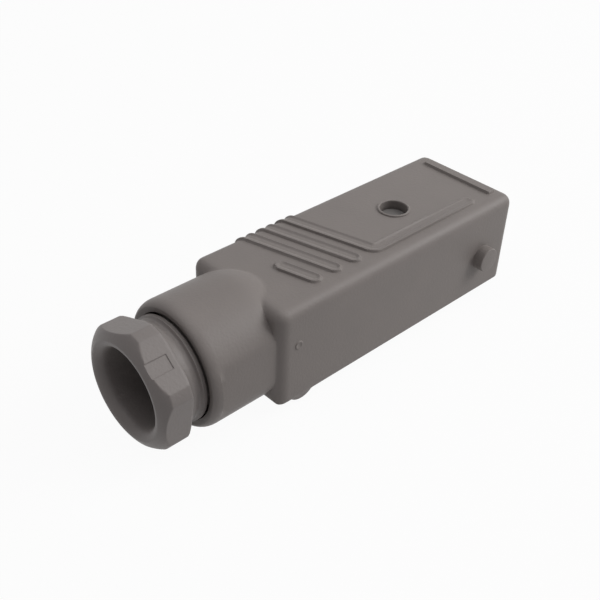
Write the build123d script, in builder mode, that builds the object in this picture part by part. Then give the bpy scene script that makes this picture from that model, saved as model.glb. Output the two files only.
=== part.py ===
# Male power connector with a screwed cable entry: a rectangular moulded housing with a round
# neck, a gland nut with its thrust ring and rubber seal, a contact carrier with three line
# pins and an earth pin, their screw terminals, and a cord clamp on the carrier's tail.
#
# Millimetres, +Z up. X runs along the cable axis from the gland nut to the mating end, and
# the origin is on the surface that the part rests on, below the middle of its length.

import os
from math import cos, radians, sin, tan

from build123d import *

os.makedirs("parts", exist_ok=True)

# Housing: outside
overall_length = 102.0
body_width = 28.0
body_height = 23.4
axis_above_underside = 11.5
rear_corner_radius = 2.8
end_corner_radius = 1.6
top_edge_radius = 2.4
underside_edge_radius = 1.2
neck_diameter = 27.8
neck_length = 15.9
neck_lip_radius = 1.6
neck_across_flats = 25.4
dome_centre_from_body = 1.3

# Housing: inside
side_wall = 2.6
roof_wall = 3.0
floor_wall = 2.4
rear_wall = 2.6
seal_seat_thickness = 2.0
cavity_corner_radius = 1.5
stop_ledge = 1.2
mouth_chamfer = 0.3

# Gripping ribs on the top
rib_count = 2
rib_pitch = 5.75
rib_slant = 15.3
rib_width = 3.6
rib_height = 0.6
rib_groove_width = 1.7
rib_groove_depth = 0.3
first_rib_from_body = 16.05
rib_near_end = 10.5
rib_wrap_depth = 5.0
short_rib_length = 11.2
frame_rib_side = 10.5
frame_rib_end = 9.8
frame_rib_bend_radius = 3.0
frame_rib_fade = 17.0

# Ridge, release hole, locking pegs and underside rests
ridge_from_end = 5.1
ridge_thickness = 1.7
ridge_length = 20.2
ridge_height = 0.8
release_hole_from_end = 27.2
release_hole_diameter = 6.4
release_rim_thickness = 0.6
release_rim_height = 0.4
peg_from_end = 9.9
peg_below_axis = 1.35
peg_diameter = 5.6
peg_length = 2.5
peg_edge_radius = 0.3
rest_from_body = 6.9
rest_length = 4.9
rest_height = 0.8
rest_thickness = 4.0
rest_inset = 0.4

# Gland: nut, thrust ring and seal
nut_across_flats = 24.5
nut_corner_diameter = 26.9
nut_head_length = 7.2
nut_vertex_angle = 39.5
nut_face_diameter = 21.4
nut_face_bulge = 0.25
nut_corner_from_face = 2.1
nut_back_chamfer = 0.5
nut_stand_off = 0.6
nut_panel_from_face = 5.6
nut_panel_width = 3.1
nut_panel_depth = 0.2
nut_collar_diameter = 22.4
nut_collar_length = 3.5
nut_rim_diameter = 23.0
nut_rim_length = 0.9
nut_rim_chamfer = 0.3
nut_bore_diameter = 17.2
nut_mouth_radius = 1.5
gland_thread_diameter = 19.8
nut_shank_length = 7.0
counterbore_diameter = 23.8
counterbore_depth = 3.9
seal_hole_diameter = 9.0
seal_length = 5.3
seal_lead_in = 1.6
thrust_ring_thickness = 1.5
thrust_ring_bore_diameter = 13.0
seal_seat_bore_diameter = 15.0

# Contact carrier
shroud_depth = 20.5
carrier_length = 35.7
carrier_corner_radius = 1.2
line_pitch = 7.0
line_below_axis = 4.5
earth_above_axis = 3.5
pocket_width = 5.6
pocket_height = 6.8
pocket_depth = 20.2
latch_button_diameter = 5.6
latch_button_sink = 1.6
latch_tongue_width = 7.0
latch_tongue_length = 10.8
latch_tongue_lip = 0.5
latch_tongue_thickness = 1.4
latch_slot_width = 0.9
latch_flex_room = 1.0

# Contacts and screw terminals
pin_diameter = 4.0
line_pin_length = 16.0
earth_pin_lead = 1.5
pin_tip_radius = 1.2
terminal_length = 10.0
terminal_width = 5.2
terminal_height = 6.4
wire_channel_width = 3.6
wire_channel_height = 3.8
wire_channel_depth = 8.0
wire_channel_roof = 1.0
clamp_plate_thickness = 0.8
clamp_plate_length = 6.0
terminal_screw_diameter = 3.0
terminal_screw_length = 2.7
screw_slot_width = 0.6
screw_slot_depth = 0.8

# Cord clamp on the carrier's tail
tail_length = 14.0
tail_side_gap = 0.7
tail_above_axis = 3.5
cord_trough_diameter = 10.4
cord_bar_width = 5.0
cord_bar_thickness = 2.5
cord_bar_below_axis = 3.6
cord_bar_from_tail_end = 4.0
cord_bar_arch_depth = 1.0
cord_screw_inset = 2.0
cord_screw_diameter = 3.0
cord_screw_length = 12.5
cord_screw_head_diameter = 4.4
cord_screw_head_height = 1.6
cord_screw_head_rounding = 0.5

# Clearances
fit_gap = 0.3
thread_gap = 0.1
screw_gap = 0.1
pin_gap = 0.05
plate_gap = 0.1
cut_margin = 5.0

# Places worked out from the sizes
nut_front_x = -overall_length / 2
mating_x = overall_length / 2
nut_corner_x = nut_front_x + nut_corner_from_face
nut_back_x = nut_front_x + nut_head_length
collar_back_x = nut_back_x + nut_collar_length
neck_mouth_x = collar_back_x + nut_stand_off
body_back_x = neck_mouth_x + neck_length
body_length = mating_x - body_back_x
neck_radius = neck_diameter / 2
axis_z = neck_radius
underside_z = axis_z - axis_above_underside
top_z = underside_z + body_height
cavity_back_x = body_back_x + rear_wall
cavity_floor_z = underside_z + floor_wall
cavity_roof_z = top_z - roof_wall
cavity_width = body_width - 2 * side_wall
cavity_height = cavity_roof_z - cavity_floor_z
cavity_middle_z = (cavity_floor_z + cavity_roof_z) / 2
carrier_front_x = mating_x - shroud_depth
carrier_back_x = carrier_front_x - carrier_length
tail_end_x = carrier_back_x - tail_length
tail_width = cavity_width - 2 * stop_ledge - 2 * tail_side_gap
cord_screw_spacing = tail_width - 2 * cord_screw_inset
release_hole_x = mating_x - release_hole_from_end
shank_end_x = collar_back_x + nut_shank_length
seal_back_x = cavity_back_x - seal_seat_thickness
gland_bore_radius = gland_thread_diameter / 2 + thread_gap
cable_axis = Axis((0, 0, axis_z), (1, 0, 0))


def cross_section(x):
    """Plane across the cable axis at x: its own x is the part's Y and its own y is Z."""
    return Plane(origin=(x, 0, axis_z), x_dir=(0, 1, 0), z_dir=(1, 0, 0))


def body_shell(skin=0.0):
    """The housing's rounded box, grown all round by a skin."""
    with BuildPart() as shell:
        with BuildSketch(Plane.XY.offset(underside_z - skin)) as outline:
            with Locations((body_back_x + body_length / 2, 0)):
                Rectangle(body_length + 2 * skin, body_width + 2 * skin)
            corners = outline.vertices().group_by(Axis.X)
            fillet(corners[0], rear_corner_radius + skin)
            fillet(corners[-1], end_corner_radius + skin)
        extrude(amount=body_height + 2 * skin)
        fillet(shell.faces().sort_by(Axis.Z)[-1].edges(), top_edge_radius + skin)
        fillet(shell.faces().sort_by(Axis.Z)[0].edges(), underside_edge_radius + skin)
    return shell.part


# Gripping ribs: slanted slots that wrap over the far edge, each with a dished top, and one
# that turns the corner and runs on along the top as a frame, fading out before the ridge.
slant = radians(rib_slant)
rib_direction = Vector(sin(slant), -cos(slant), 0)
rib_across = Vector(cos(slant), sin(slant), 0)
rib_far_y = body_width / 2 + 2 * rib_height


def rib_front_x(index, y):
    """X of a rib's front edge at y; index 0 is the first long rib."""
    return body_back_x + first_rib_from_body + index * rib_pitch - y * tan(slant)


def slot_between(near, far, width):
    """A round-ended slot between two points of the current sketch."""
    middle = (near + far) / 2
    with Locations((middle.X, middle.Y)):
        SlotCenterToCenter((near - far).length, width, rotation=90 + rib_slant)


def rib_centre(index, y):
    """Middle of a rib's width beside the point where its front edge has this y."""
    return Vector(rib_front_x(index, y), y, 0) + rib_across * rib_width / 2


def rib_outlines(width, shorten):
    """The outlines of all ribs at one width; shorten pulls the round ends in."""
    inset = rib_direction * (rib_width / 2 + shorten)
    for index in range(rib_count):
        slot_between(rib_centre(index, -rib_near_end) - inset, rib_centre(index, rib_far_y), width)
    short_near = rib_centre(-1, -rib_near_end)
    short_far = short_near - rib_direction * short_rib_length
    slot_between(short_near - inset, short_far + inset, width)
    far = rib_centre(rib_count, rib_far_y)
    bend_y = -frame_rib_side + rib_width / 2
    bend_x = far.X + (far.Y - bend_y) * tan(slant)
    end_x = mating_x - frame_rib_end - rib_width / 2
    with BuildLine() as frame_route:
        FilletPolyline((far.X, far.Y), (bend_x, bend_y), (end_x, bend_y), radius=frame_rib_bend_radius)
    trace(frame_route.edges(), line_width=width)
    with Locations((end_x, bend_y)):
        Circle(width / 2)


with BuildPart() as rib_grooves:
    with BuildSketch(Plane.XY.offset(top_z - rib_wrap_depth)):
        rib_outlines(rib_groove_width, (rib_width - rib_groove_width) / 2)
    extrude(amount=rib_wrap_depth + cut_margin)
    add(body_shell(rib_height - rib_groove_depth), mode=Mode.SUBTRACT)

with BuildPart() as grip_ribs:
    with BuildSketch(Plane.XY.offset(top_z - rib_wrap_depth)):
        rib_outlines(rib_width, 0)
    extrude(amount=rib_wrap_depth + cut_margin)
    add(body_shell(rib_height), mode=Mode.INTERSECT)
    add(rib_grooves.part, mode=Mode.SUBTRACT)
    with BuildSketch(Plane.XZ):
        fade_end_x = mating_x - frame_rib_end
        with BuildLine():
            Polyline((fade_end_x - frame_rib_fade, top_z + rib_height), (fade_end_x, top_z),
                     (fade_end_x + cut_margin, top_z), (fade_end_x + cut_margin, top_z + cut_margin),
                     (fade_end_x - frame_rib_fade, top_z + cut_margin), close=True)
        make_face()
    extrude(amount=body_width, both=True, mode=Mode.SUBTRACT)

# Neck: round with two flats, and closed by a dome that shows through the body's top
with BuildPart() as neck:
    with BuildSketch(Plane.XZ) as neck_profile:
        dome_x = body_back_x - dome_centre_from_body
        with BuildLine():
            Line((neck_mouth_x, axis_z), (neck_mouth_x, axis_z + neck_radius))
            Line((neck_mouth_x, axis_z + neck_radius), (dome_x, axis_z + neck_radius))
            RadiusArc((dome_x, axis_z + neck_radius), (dome_x + neck_radius, axis_z), neck_radius)
            Line((dome_x + neck_radius, axis_z), (neck_mouth_x, axis_z))
        make_face()
        lip_corner = neck_profile.vertices().group_by(Axis.X)[0].sort_by(Axis.Y)[-1]
        fillet(lip_corner, neck_lip_radius)
    revolve(axis=cable_axis)
    with BuildSketch(cross_section(neck_mouth_x)):
        Rectangle(neck_across_flats, neck_diameter)
    extrude(amount=overall_length, mode=Mode.INTERSECT)

# Housing: one moulding, open at the mating end
with BuildPart() as housing:
    add(body_shell())
    add(neck.part)
    add(grip_ribs.part)

    # Ridge across the top at the mating end
    with BuildSketch(Plane.XY.offset(top_z)):
        with Locations((mating_x - ridge_from_end + ridge_thickness / 2, 0)):
            SlotOverall(ridge_length, ridge_thickness, rotation=90)
    extrude(amount=ridge_height)

    # Rim round the release hole
    with BuildSketch(Plane.XY.offset(top_z)):
        with Locations((release_hole_x, 0)):
            Circle(release_hole_diameter / 2 + release_rim_thickness)
    extrude(amount=release_rim_height)

    # Locking pegs on both sides
    for side in (-1, 1):
        side_plane = Plane(origin=(mating_x - peg_from_end, side * body_width / 2, axis_z - peg_below_axis),
                           z_dir=(0, side, 0))
        with BuildSketch(side_plane.offset(-side_wall / 2)):
            Circle(peg_diameter / 2)
        extrude(amount=peg_length + side_wall / 2)
        peg_end = housing.faces().sort_by(Axis.Y)[0 if side < 0 else -1]
        fillet(peg_end.edges(), peg_edge_radius)

    # Rests under the two sides of the body, parts of a circle through their ends
    rest_radius = (rest_length**2 / 4 + rest_height**2) / (2 * rest_height)
    for side in (-1, 1):
        outer_y = side * (body_width / 2 - rest_inset)
        with BuildSketch(Plane(origin=(0, outer_y, 0), x_dir=(side, 0, 0), z_dir=(0, -side, 0))):
            with Locations((side * (body_back_x + rest_from_body), underside_z - rest_height + rest_radius)):
                Circle(rest_radius)
        extrude(amount=rest_thickness)

    # Socket and cable room, one behind the other, with a ledge that stops the carrier
    with BuildSketch(Plane(origin=(mating_x, 0, cavity_middle_z), x_dir=(0, 1, 0), z_dir=(1, 0, 0))):
        RectangleRounded(cavity_width, cavity_height, cavity_corner_radius)
    extrude(amount=-(mating_x - carrier_back_x + fit_gap), mode=Mode.SUBTRACT)
    with BuildSketch(Plane(origin=(mating_x, 0, cavity_middle_z), x_dir=(0, 1, 0), z_dir=(1, 0, 0))):
        RectangleRounded(cavity_width - 2 * stop_ledge, cavity_height, cavity_corner_radius)
    extrude(amount=-(mating_x - cavity_back_x), mode=Mode.SUBTRACT)

    # Gland seat in the neck: counterbore, threaded bore, seal seat
    for start_x, depth, diameter in (
            (neck_mouth_x, counterbore_depth, counterbore_diameter),
            (neck_mouth_x, seal_back_x - neck_mouth_x, 2 * gland_bore_radius),
            (neck_mouth_x, cavity_back_x - neck_mouth_x, seal_seat_bore_diameter)):
        with BuildSketch(cross_section(start_x)):
            Circle(diameter / 2)
        extrude(amount=depth, mode=Mode.SUBTRACT)

    # Release hole through the top
    with BuildSketch(Plane.XY.offset(top_z + release_rim_height)):
        with Locations((release_hole_x, 0)):
            Circle(release_hole_diameter / 2)
    extrude(amount=-(roof_wall + release_rim_height), mode=Mode.SUBTRACT)

    socket_rim = housing.faces().sort_by(Axis.X)[-1].inner_wires()[0]
    chamfer(socket_rim.edges(), mouth_chamfer)

# Gland nut: hexagon with a domed face that turns its corners down, collar with a thin rim,
# and a threaded shank
nut_radius = nut_across_flats / 2
corner_radius = nut_corner_diameter / 2
face_radius = nut_face_diameter / 2
with BuildPart() as gland_nut:
    with BuildSketch(cross_section(nut_front_x)):
        RegularPolygon(nut_radius, 6, major_radius=False, rotation=nut_vertex_angle)
    extrude(amount=nut_back_x - nut_front_x)
    face_edge = Vector(nut_front_x, axis_z + face_radius)
    corner_front = Vector(nut_corner_x, axis_z + corner_radius)
    slope = corner_front - face_edge
    dome_middle = (face_edge + corner_front) / 2 + Vector(-slope.Y, slope.X) * nut_face_bulge / slope.length
    with BuildSketch(Plane.XZ):
        with BuildLine():
            Line((nut_front_x, axis_z), face_edge)
            ThreePointArc(face_edge, dome_middle, corner_front)
            Polyline(corner_front, (nut_back_x - nut_back_chamfer, axis_z + corner_radius),
                     (nut_back_x, axis_z + corner_radius - 2 * nut_back_chamfer),
                     (nut_back_x, axis_z), (nut_front_x, axis_z))
        make_face()
    revolve(axis=cable_axis, mode=Mode.INTERSECT)
    for start_x, length, diameter in (
            (nut_back_x, nut_collar_length, nut_collar_diameter),
            (collar_back_x - nut_rim_length, nut_rim_length, nut_rim_diameter),
            (collar_back_x, nut_shank_length, gland_thread_diameter)):
        with BuildSketch(cross_section(start_x)):
            Circle(diameter / 2)
        extrude(amount=length)
    rim_edges = gland_nut.edges().filter_by(GeomType.CIRCLE).filter_by(
        lambda edge: abs(edge.radius - nut_rim_diameter / 2) < nut_rim_chamfer / 2)
    chamfer(rim_edges.sort_by(Axis.X)[-1], nut_rim_chamfer)
    with BuildSketch(cross_section(nut_front_x)):
        Circle(nut_bore_diameter / 2)
    extrude(amount=shank_end_x - nut_front_x, mode=Mode.SUBTRACT)
    face = gland_nut.faces().sort_by(Axis.X)[0]
    fillet(face.inner_wires()[0].edges(), nut_mouth_radius)

    # Blank panel sunk into one flat, open towards the face
    panel_angle = radians(nut_vertex_angle + 90)
    panel_normal = Vector(0, cos(panel_angle), sin(panel_angle))
    panel_place = Vector(nut_front_x, 0, axis_z) + panel_normal * nut_radius
    with BuildSketch(Plane(origin=panel_place, x_dir=(1, 0, 0), z_dir=panel_normal)):
        Rectangle(nut_panel_from_face, nut_panel_width, align=(Align.MIN, Align.CENTER))
    extrude(amount=-nut_panel_depth, mode=Mode.SUBTRACT)

# Thrust ring between the nut's shank and the seal
ring_radius = gland_bore_radius - fit_gap
with BuildPart() as thrust_ring:
    with BuildSketch(cross_section(shank_end_x)):
        Circle(ring_radius)
        Circle(thrust_ring_bore_diameter / 2, mode=Mode.SUBTRACT)
    extrude(amount=thrust_ring_thickness)

# Rubber seal on its seat at the back of the neck
with BuildPart() as cable_seal:
    with BuildSketch(cross_section(seal_back_x)):
        Circle(ring_radius)
        Circle(seal_hole_diameter / 2, mode=Mode.SUBTRACT)
    extrude(amount=-seal_length)
    chamfer(cable_seal.faces().sort_by(Axis.X)[0].outer_wire().edges(), seal_lead_in)

# Contact carrier: block with terminal pockets, a latch tongue on top and a cord clamp tail
earth_z = axis_z + earth_above_axis
line_z = axis_z - line_below_axis
terminal_back_x = carrier_back_x + pocket_depth - terminal_length - fit_gap
terminal_front_x = terminal_back_x + terminal_length
contact_places = {
    "line_contact_left": (line_pitch, line_z, -1, line_pin_length),
    "line_contact_middle": (0, line_z, -1, line_pin_length),
    "line_contact_right": (-line_pitch, line_z, -1, line_pin_length),
    "earth_contact": (0, earth_z, 1, line_pin_length + earth_pin_lead),
}
screw_x = terminal_back_x + wire_channel_depth / 2
tail_underside_z = axis_z + tail_above_axis
cord_bar_x = tail_end_x + cord_bar_from_tail_end + cord_bar_width / 2
latch_front_x = release_hole_x + latch_button_diameter / 2 + latch_tongue_lip
latch_root_x = latch_front_x - latch_tongue_length
latch_cut_x = (latch_root_x + latch_front_x + latch_slot_width) / 2

with BuildPart() as contact_carrier:
    with BuildSketch(Plane(origin=(carrier_front_x, 0, cavity_middle_z), x_dir=(0, 1, 0), z_dir=(1, 0, 0))):
        RectangleRounded(cavity_width - 2 * fit_gap, cavity_height - 2 * fit_gap, carrier_corner_radius)
    extrude(amount=-carrier_length)
    carrier_floor_z = cavity_floor_z + fit_gap
    carrier_roof_z = cavity_roof_z - fit_gap
    with BuildSketch(Plane.XY.offset(carrier_roof_z)):
        with Locations((carrier_back_x - tail_length / 2, 0)):
            Rectangle(tail_length, tail_width)
    extrude(amount=tail_underside_z - carrier_roof_z)
    fillet(contact_carrier.edges().filter_by(Axis.Z).group_by(Axis.X)[0], carrier_corner_radius)
    top_edges = contact_carrier.edges().filter_by(Axis.X).group_by(Axis.Z)[-1]
    fillet(top_edges.filter_by(lambda edge: edge.center().X < carrier_back_x), carrier_corner_radius)
    for y, z, screw_side, pin_length in contact_places.values():
        with BuildSketch(cross_section(tail_end_x)):
            with Locations((y, z - axis_z)):
                Rectangle(pocket_width, pocket_height)
        extrude(amount=tail_length + pocket_depth, mode=Mode.SUBTRACT)
        with BuildSketch(cross_section(carrier_front_x)):
            with Locations((y, z - axis_z)):
                Circle(pin_diameter / 2 + pin_gap)
        extrude(amount=-(carrier_length - pocket_depth), mode=Mode.SUBTRACT)
        with BuildSketch(Plane(origin=(screw_x, y, z), z_dir=(0, 0, screw_side))):
            Circle(terminal_screw_diameter / 2 + fit_gap)
        extrude(amount=cavity_height, mode=Mode.SUBTRACT)
    with BuildSketch(cross_section(tail_end_x)):
        Circle(cord_trough_diameter / 2)
    extrude(amount=tail_length, mode=Mode.SUBTRACT)
    with BuildSketch(Plane.XY.offset(tail_underside_z)):
        with Locations((cord_bar_x, 0)):
            with GridLocations(0, cord_screw_spacing, 1, 2):
                Circle(cord_screw_diameter / 2 + screw_gap)
    extrude(amount=carrier_roof_z - tail_underside_z, mode=Mode.SUBTRACT)
    latch_slot_depth = latch_tongue_thickness + latch_flex_room
    with BuildSketch(Plane.XY.offset(carrier_roof_z)):
        with Locations((latch_cut_x, 0)):
            Rectangle(latch_tongue_length + latch_slot_width, latch_tongue_width + 2 * latch_slot_width)
        with Locations(((latch_root_x + latch_front_x) / 2, 0)):
            Rectangle(latch_tongue_length, latch_tongue_width, mode=Mode.SUBTRACT)
    extrude(amount=-latch_slot_depth, mode=Mode.SUBTRACT)
    with BuildSketch(Plane.XY.offset(carrier_roof_z - latch_tongue_thickness)):
        with Locations((latch_cut_x, 0)):
            Rectangle(latch_tongue_length + latch_slot_width, latch_tongue_width + 2 * latch_slot_width)
    extrude(amount=-latch_flex_room, mode=Mode.SUBTRACT)
    with BuildSketch(Plane.XY.offset(carrier_roof_z)):
        with Locations((release_hole_x, 0)):
            Circle(latch_button_diameter / 2)
    extrude(amount=top_z - latch_button_sink - carrier_roof_z)

pieces = {
    "housing": housing,
    "gland_nut": gland_nut,
    "thrust_ring": thrust_ring,
    "cable_seal": cable_seal,
    "contact_carrier": contact_carrier,
}

# Contacts, each a pin and a screw terminal in one piece, with its clamp plate and screw
for name, (y, z, screw_side, pin_length) in contact_places.items():
    wire_roof_z = z - screw_side * (terminal_height / 2 - wire_channel_roof)
    wire_floor_z = wire_roof_z + screw_side * wire_channel_height
    screw_plane = Plane(origin=(screw_x, y, z), z_dir=(0, 0, screw_side))
    with BuildPart() as contact:
        with BuildSketch(cross_section(terminal_back_x)):
            with Locations((y, z - axis_z)):
                Rectangle(terminal_width, terminal_height)
        extrude(amount=terminal_length)
        with BuildSketch(cross_section(terminal_front_x)):
            with Locations((y, z - axis_z)):
                Circle(pin_diameter / 2)
        extrude(amount=carrier_front_x + pin_length - terminal_front_x)
        fillet(contact.faces().sort_by(Axis.X)[-1].edges(), pin_tip_radius)
        with BuildSketch(cross_section(terminal_back_x)):
            with Locations((y, (wire_roof_z + wire_floor_z) / 2 - axis_z)):
                Rectangle(wire_channel_width, wire_channel_height)
        extrude(amount=wire_channel_depth, mode=Mode.SUBTRACT)
        with BuildSketch(screw_plane):
            Circle(terminal_screw_diameter / 2 + screw_gap)
        extrude(amount=terminal_height / 2, mode=Mode.SUBTRACT)
    pieces[name] = contact

    plate_face_z = wire_floor_z - screw_side * plate_gap
    with BuildPart() as clamp_plate:
        with BuildSketch(Plane(origin=(screw_x, y, plate_face_z), z_dir=(0, 0, -screw_side))):
            Rectangle(clamp_plate_length, wire_channel_width - 2 * plate_gap)
        extrude(amount=clamp_plate_thickness)
    pieces[name.replace("contact", "clamp_plate")] = clamp_plate

    with BuildPart() as terminal_screw:
        with BuildSketch(Plane(origin=(screw_x, y, plate_face_z), z_dir=(0, 0, screw_side))):
            Circle(terminal_screw_diameter / 2)
        extrude(amount=terminal_screw_length)
        with BuildSketch(Plane(origin=(screw_x, y, plate_face_z + screw_side * terminal_screw_length),
                               z_dir=(0, 0, screw_side))):
            Rectangle(terminal_screw_diameter + screw_slot_width, screw_slot_width)
        extrude(amount=-screw_slot_depth, mode=Mode.SUBTRACT)
    pieces[name.replace("contact", "terminal_screw")] = terminal_screw

# Cord clamp: arched bar under the tail and its two screws, put in from below
cord_bar_top_z = axis_z - cord_bar_below_axis
cord_screw_seat_z = cord_bar_top_z - cord_bar_thickness
with BuildPart() as cord_bar:
    with BuildSketch(Plane(origin=(cord_bar_x, 0, cord_bar_top_z), x_dir=(0, 1, 0), z_dir=(1, 0, 0))):
        with Locations((0, -cord_bar_thickness / 2)):
            Rectangle(tail_width, cord_bar_thickness)
        arch_radius = (cord_trough_diameter**2 / 4 + cord_bar_arch_depth**2) / (2 * cord_bar_arch_depth)
        with Locations((0, arch_radius - cord_bar_arch_depth)):
            Circle(arch_radius, mode=Mode.SUBTRACT)
    extrude(amount=cord_bar_width / 2, both=True)
    fillet(cord_bar.edges().filter_by(Axis.Z), carrier_corner_radius)
    with BuildSketch(Plane.XY.offset(cord_screw_seat_z)):
        with Locations((cord_bar_x, 0)):
            with GridLocations(0, cord_screw_spacing, 1, 2):
                Circle(cord_screw_diameter / 2 + screw_gap)
    extrude(amount=cord_bar_thickness, mode=Mode.SUBTRACT)
pieces["cord_bar"] = cord_bar

for side, name in ((1, "cord_screw_left"), (-1, "cord_screw_right")):
    with BuildPart() as cord_screw:
        screw_place = Plane(origin=(cord_bar_x, side * cord_screw_spacing / 2, cord_screw_seat_z))
        with BuildSketch(screw_place):
            Circle(cord_screw_diameter / 2)
        extrude(amount=cord_screw_length)
        with BuildSketch(screw_place):
            Circle(cord_screw_head_diameter / 2)
        extrude(amount=-cord_screw_head_height)
        fillet(cord_screw.faces().sort_by(Axis.Z)[0].edges(), cord_screw_head_rounding)
        with BuildSketch(screw_place.offset(-cord_screw_head_height)):
            Rectangle(cord_screw_head_diameter + screw_slot_width, screw_slot_width)
        extrude(amount=screw_slot_depth, mode=Mode.SUBTRACT)
    pieces[name] = cord_screw

for name, piece in pieces.items():
    piece.part.label = name
    export_step(piece.part, f"parts/{name}.step")
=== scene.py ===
"""Male power connector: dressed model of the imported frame, laid out as an add-on."""
import math

import bmesh
import bpy
import numpy as np
from mathutils import Matrix, Vector


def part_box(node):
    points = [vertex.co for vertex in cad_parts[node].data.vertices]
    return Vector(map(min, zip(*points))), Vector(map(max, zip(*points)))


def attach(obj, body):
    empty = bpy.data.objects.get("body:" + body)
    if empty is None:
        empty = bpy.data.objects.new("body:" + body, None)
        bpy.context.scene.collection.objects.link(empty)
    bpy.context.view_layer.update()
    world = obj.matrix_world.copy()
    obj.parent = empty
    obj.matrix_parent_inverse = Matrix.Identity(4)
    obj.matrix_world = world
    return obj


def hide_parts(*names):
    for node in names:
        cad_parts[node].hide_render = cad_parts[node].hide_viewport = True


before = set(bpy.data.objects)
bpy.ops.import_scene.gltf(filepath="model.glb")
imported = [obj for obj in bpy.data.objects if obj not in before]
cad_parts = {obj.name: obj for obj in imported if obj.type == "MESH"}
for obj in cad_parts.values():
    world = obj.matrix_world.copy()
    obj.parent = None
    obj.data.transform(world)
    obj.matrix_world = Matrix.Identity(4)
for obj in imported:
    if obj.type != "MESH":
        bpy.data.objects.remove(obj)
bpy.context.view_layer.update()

bl_info = {
    "name": "Male power connector",
    "version": (1, 0, 0),
    "blender": (4, 5, 0),
    "location": "View3D > Sidebar > Connector",
    "description": "Builds the moulded housing, the gland nut and the finishes of a male power connector",
    "category": "Add Mesh",
}

MM = 0.001
FULL_TURN = 2 * math.pi


def along_axis(node):
    """Where a node of the frame begins and ends along the cable axis, in millimetres."""
    low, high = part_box(node)
    return round(low[0] / MM, 2), round(high[0] / MM, 2)


# Sizes and places in millimetres. The cable axis runs along x to the mating end, AXIS_Z above
# the floor, and y runs to the far side. Heights count from the axis.
AXIS_Z = 13.9

# Body and its ends. A roll is the depth over which the skin turns to an end face, on the
# sides, the top and the underside.
NECK_MOUTH, MATING = along_axis("housing")
BODY_BACK = -23.8
HALF_WIDTH = 14.0
TOP = 11.9
UNDERSIDE = -11.5
TOP_EDGE = 2.4
LOW_EDGE = 1.2
REAR_ROLL = (2.8, 2.4, 1.9)
MATING_ROLL = (2.2, 2.3, LOW_EDGE)

# Neck, with its flats, its dome inside the body and the lip at its mouth
NECK_RADIUS = 13.9
NECK_FLAT = 12.7
DOME_CENTRE = -25.1
NECK_FILLET = 0.3
FLAT_EDGE = 0.25
LIP_LENGTH, LIP_HEIGHT = 2.4, 1.2

# Gripping ribs. They lean by SLANT, and their places are where the rear edge crosses the axis.
SLANT = math.radians(15.3)
FIRST_LONG_RIB = BODY_BACK + 16.05
RIB_PITCH = 5.75
RIB_NEAR_END = -10.5
SHORT_RIB_FAR_END = 0.4
RIB_FRONT_RAMP, RIB_REAR_RAMP = 0.6, 0.15
DISH_FRONT_RAMP, DISH_REAR_RAMP = 0.7, 1.0
DISH_DEPTH, DISH_INSET = 0.62, 0.5
FRAME_BEND = 1.4
FRAME_END = MATING - 9.8
FRAME_FADE, FRAME_FADE_RUN = 0.45, 17.0
RIB_WRAP_FAR, RIB_WRAP_NEAR = 5.0, 0.9

# Bar across the top at the mating end
BAR_X = MATING - 3.75
BAR_HALF_DEPTH, BAR_HALF_LENGTH = 0.85, 9.6
BAR_EDGE, BAR_RAMP = 0.5, 0.28

# Rests under the sides, locking pegs, release hole with its rim, and gate mark. Places with z
# are over the floor.
REST_X = BODY_BACK + 6.9
REST_CHORD, REST_HEIGHT = 4.9, 0.8
REST_INNER, REST_OUTER = 9.7, 13.85
PEG_X, PEG_Z = MATING - 9.9, AXIS_Z - 1.35
PEG_RADIUS, PEG_HEIGHT, PEG_EDGE, PEG_ROOT = 3.0, 2.5, 0.25, -0.6
HOLE_PLACE = (23.8, 0, AXIS_Z + TOP)
HOLE_RADIUS, HOLE_DEPTH = 3.2, 4.5
HOLE_RIM_RADIUS, HOLE_RIM_HALF_WIDTH, HOLE_RIM_HEIGHT, HOLE_RIM_ROOT = 3.5, 0.29, 0.25, -0.5
GATE_PLACE = (-18.6, -HALF_WIDTH, 16.8)

# Inside of the housing: socket, cable room, the cable's hole, the seal's bore and the counterbore
SOCKET_HALF_WIDTH, ROOM_HALF_WIDTH = 11.4, 10.2
INSIDE_UP, INSIDE_DOWN = 8.9, 9.1
SOCKET_CHAMFER = 0.3
SOCKET_END = -5.5
ROOM_END = BODY_BACK + 2.6
SEAL_SEAT = ROOM_END - 2.0
CABLE_HOLE, SEAL_BORE, COUNTERBORE = 7.5, 10.0, 11.6
COUNTERBORE_END = NECK_MOUTH + 3.9

# Gland nut: radii to the flats, of the corners' circle, the face, the collar, its rim and the bore
NUT_FRONT = along_axis("gland_nut")[0]
NUT_TURN = math.radians(39.5)
NUT_FLAT, NUT_CORNER, NUT_FACE = 12.25, 13.45, 10.7
COLLAR_RADIUS, RIM_RADIUS, NUT_BORE = 11.2, 11.5, 8.6
CORNER_X = NUT_FRONT + 2.1
NUT_BACK = NUT_FRONT + 7.2
RIM_X = NUT_FRONT + 10.7
FACE_BULGE = 0.25
CORNER_EDGE, FACE_EDGE = 0.09, 0.12
BORE_MOUTH_DEPTH, BORE_MOUTH_FLARE = 2.5, 1.9
THREAD_RADIUS, THREAD_PITCH, THREAD_DEPTH = 9.9, 1.5, 0.75
THREAD_START, THREAD_END = 0.45, 7.0
PANEL_HALF_WIDTH, PANEL_DEPTH, PANEL_STEP = 1.55, 0.2, 0.2
PANEL_END = NUT_FRONT + 5.6

# Edges sharper than these degrees stay sharp.
HOUSING_CREASE, NUT_CREASE = 35.0, 40.0


# Shape helpers

def smooth_step(value):
    """0 below 0 and 1 above 1, with the cubic 3t^2 - 2t^3 between."""
    t = np.clip(value, 0.0, 1.0)
    return t * t * (3 - 2 * t)


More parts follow.
